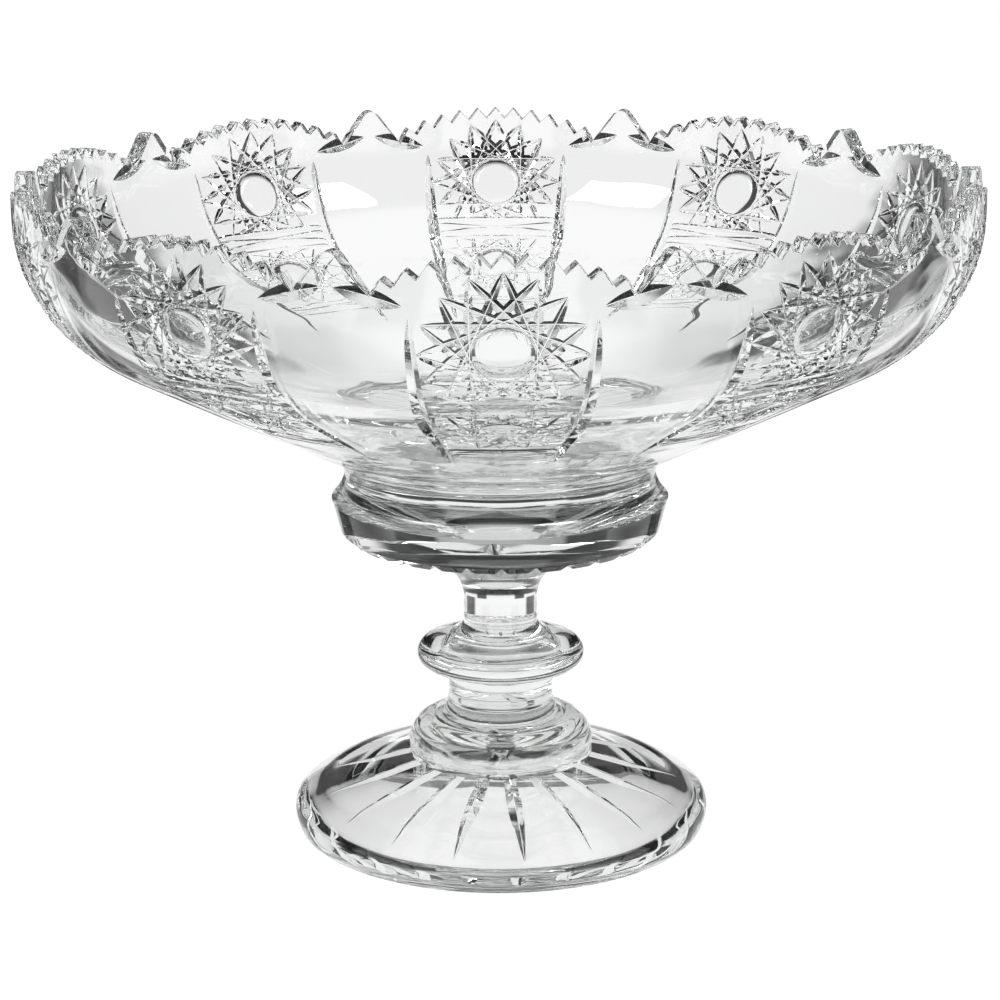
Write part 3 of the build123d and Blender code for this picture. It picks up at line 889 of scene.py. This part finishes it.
def node_math(tree, operation, a, b=None):
    """Output of a new Math node, its inputs numbers or sockets."""
    node = tree.nodes.new("ShaderNodeMath")
    node.operation = operation
    for socket, value in zip(node.inputs, (a, b)):
        if isinstance(value, (int, float)):
            socket.default_value = value
        elif value is not None:
            tree.links.new(value, socket)
    return node.outputs[0]


def node_ramp(tree, value, start, end, low=0.0, high=1.0):
    """Output that goes smoothly from low to high as the value goes from start to end."""
    node = tree.nodes.new("ShaderNodeMapRange")
    node.interpolation_type = "SMOOTHSTEP"
    tree.links.new(value, node.inputs["Value"])
    for name, number in (("From Min", start), ("From Max", end), ("To Min", low), ("To Max", high)):
        node.inputs[name].default_value = number
    return node.outputs[0]


def node_cards(tree, x, y, count, edge):
    """1 in front of the bright cards round the object, and 0 in the dark gaps between. No objects stand
    there: the cards are a pattern in the world's light, and painted light in the floor's glow.
    """
    azimuth = node_math(tree, "ARCTAN2", y, x)
    wave = node_math(tree, "COSINE", node_math(tree, "MULTIPLY", azimuth, float(count)))
    return node_ramp(tree, wave, edge - CARD_SOFTNESS, edge + CARD_SOFTNESS)


# Cards, a pattern in the world's light and painted light in the floor's glow: how many are in the ring, and
# the cosine of that many times the turn where a card ends
FAR_CARDS = (8, -0.6)
NEAR_CARDS = (4, -0.7)
CARD_SOFTNESS = 0.15
RING_SOFTNESS = 0.15          # of the two rings below, as a share of their radius
NEAR_RING = 0.5               # the near cards' light is painted into the floor's glow out to here
PAINTED_POOL_RADIUS = 0.24           # the floor's glow is painted bright all round out to here, a pool of painted light under the foot
LIGHT = 0.92                  # brightness of the cards and floor in what the glass bends and mirrors
GAP = 0.06                    # brightness between the cards: painted shade in the floor's glow, and the dark gaps of the world's light
CARD_TOP = (-0.1, 0.12)       # sines of the elevations between which the cards give way to the ceiling
OVERHEAD = (0.74, 0.86)       # and those between which the ceiling gives way to the overhead light
DARK = 0.03                   # brightness of the ceiling
FLOOR_HALF = 3.0              # metres
FLOOR_Z = -0.0003             # a hair under the foot, so that the two faces stay apart


def make_stage():
    """Floor that glows with painted light, like a light table, and is plain white to the camera.

    What the glass bends and mirrors finds its painted glow bright near the foot and in front of the
    painted cards, with painted shade between them, which is what draws the edges of clear glass.
    """
    mesh = bpy.data.meshes.new("floor")
    side, z = FLOOR_HALF, FLOOR_Z
    corners = [(-side, -side, z), (side, -side, z), (side, side, z), (-side, side, z)]
    mesh.from_pydata(corners, [], [(0, 1, 2, 3)])
    floor = bpy.data.objects.new("floor", mesh)
    bpy.context.scene.collection.objects.link(floor)
    material = bpy.data.materials.new("floor_painted_glow")
    material.use_nodes = True
    tree = material.node_tree
    shader = tree.nodes["Principled BSDF"]
    place = tree.nodes.new("ShaderNodeTexCoord")
    split = tree.nodes.new("ShaderNodeSeparateXYZ")
    tree.links.new(place.outputs["Object"], split.inputs[0])
    x, y = split.outputs["X"], split.outputs["Y"]
    out = node_math(tree, "SQRT", node_math(tree, "ADD", node_math(tree, "MULTIPLY", x, x),
                                            node_math(tree, "MULTIPLY", y, y)))
    # Painted light: a bright pool round the foot, then the cards' painted light with painted shade in the
    # gaps.
    table = node_ramp(tree, out, PAINTED_POOL_RADIUS * (1 + RING_SOFTNESS), PAINTED_POOL_RADIUS * (1 - RING_SOFTNESS))
    near, far = node_cards(tree, x, y, *NEAR_CARDS), node_cards(tree, x, y, *FAR_CARDS)
    outer = node_ramp(tree, out, NEAR_RING * (1 - RING_SOFTNESS), NEAR_RING * (1 + RING_SOFTNESS))
    change = node_math(tree, "MULTIPLY", node_math(tree, "SUBTRACT", far, near), outer)
    bright = node_math(tree, "MAXIMUM", table, node_math(tree, "ADD", near, change))
    seen = tree.nodes.new("ShaderNodeLightPath").outputs["Is Camera Ray"]
    light = node_math(tree, "MULTIPLY", node_math(tree, "MAXIMUM", bright, GAP), LIGHT)
    glow = node_math(tree, "MAXIMUM", light, seen)
    shader.inputs["Base Color"].default_value = (0.1, 0.1, 0.1, 1)
    shader.inputs["Roughness"].default_value = 0.9
    # The floor's emission is painted light and painted shade for what the glass bends and mirrors, and
    # plain white to camera rays.
    tree.links.new(glow, shader.inputs["Emission Color"])
    shader.inputs["Emission Strength"].default_value = 1.0
    mesh.materials.append(material)


def make_world():
    """Studio round the object: bright cards with dark gaps between, under a dark ceiling.

    The ceiling has a light overhead. To the camera all of it is plain white.
    """
    world = bpy.data.worlds.new("studio")
    bpy.context.scene.world = world
    world.use_nodes = True
    tree = world.node_tree
    back = tree.nodes["Background"]
    coords = tree.nodes.new("ShaderNodeTexCoord")
    split = tree.nodes.new("ShaderNodeSeparateXYZ")
    tree.links.new(coords.outputs["Generated"], split.inputs[0])
    cards = node_cards(tree, split.outputs["X"], split.outputs["Y"], *FAR_CARDS)
    below = node_ramp(tree, split.outputs["Z"], CARD_TOP[1], CARD_TOP[0])
    light = node_math(tree, "MULTIPLY", node_math(tree, "MAXIMUM", cards, GAP), below)
    overhead = node_ramp(tree, split.outputs["Z"], *OVERHEAD, DARK)
    light = node_math(tree, "MULTIPLY", node_math(tree, "MAXIMUM", light, overhead), LIGHT)
    seen = tree.nodes.new("ShaderNodeLightPath").outputs["Is Camera Ray"]
    tree.links.new(node_math(tree, "MAXIMUM", light, seen), back.inputs["Color"])


AIM_HEIGHT = 0.15


def make_light(name, place, side, power):
    """Square soft light aimed at the middle of the object."""
    data = bpy.data.lights.new(name, "AREA")
    data.shape = "RECTANGLE"
    data.size, data.size_y = side, side
    data.energy = power
    lamp = bpy.data.objects.new(name, data)
    bpy.context.scene.collection.objects.link(lamp)
    lamp.location = place
    aim = Vector((0, 0, AIM_HEIGHT)) - Vector(place)
    lamp.rotation_euler = aim.to_track_quat("-Z", "Y").to_euler()
    lamp.visible_glossy = False


# Camera that the picture of the object was taken with, fitted to its outline: metres, degrees, and
# millimetres for its lens and sensor
CAMERA_DISTANCE, CAMERA_HEIGHT = 1.0047, 0.4017
CAMERA_DOWN, CAMERA_ROLL, CAMERA_AZIMUTH = 15.378, -0.218, -0.42
CAMERA_LENS, CAMERA_SENSOR = 100.13, 36.0
BOUNCES = 24                  # light passes many faces of cut glass


def make_camera():
    data = bpy.data.cameras.new("camera")
    data.sensor_width = CAMERA_SENSOR
    data.lens = CAMERA_LENS
    camera = bpy.data.objects.new("camera", data)
    bpy.context.scene.collection.objects.link(camera)
    a = math.radians(CAMERA_AZIMUTH)
    camera.location = (CAMERA_DISTANCE * math.sin(a), -CAMERA_DISTANCE * math.cos(a), CAMERA_HEIGHT)
    tilt = Matrix.Rotation(math.radians(90 - CAMERA_DOWN), 3, "X")
    roll = Matrix.Rotation(math.radians(CAMERA_ROLL), 3, "Z")
    camera.rotation_euler = (Matrix.Rotation(a, 3, "Z") @ tilt @ roll).to_euler()
    bpy.context.scene.camera = camera


make_stage()
make_world()
make_light("key", (-0.9, -1.1, 1.5), 0.7, 12)
make_light("fill", (1.1, -0.7, 1.3), 0.6, 6)
make_camera()
scene = bpy.context.scene
scene.view_settings.view_transform = "Standard"
scene.view_settings.gamma = 0.86    # deepens the middle greys of the glass, and leaves white white
scene.cycles.max_bounces = BOUNCES
scene.cycles.transmission_bounces = BOUNCES
scene.cycles.glossy_bounces = BOUNCES
scene.cycles.use_denoising = True
scene.cycles.caustics_refractive = False
scene.cycles.caustics_reflective = False
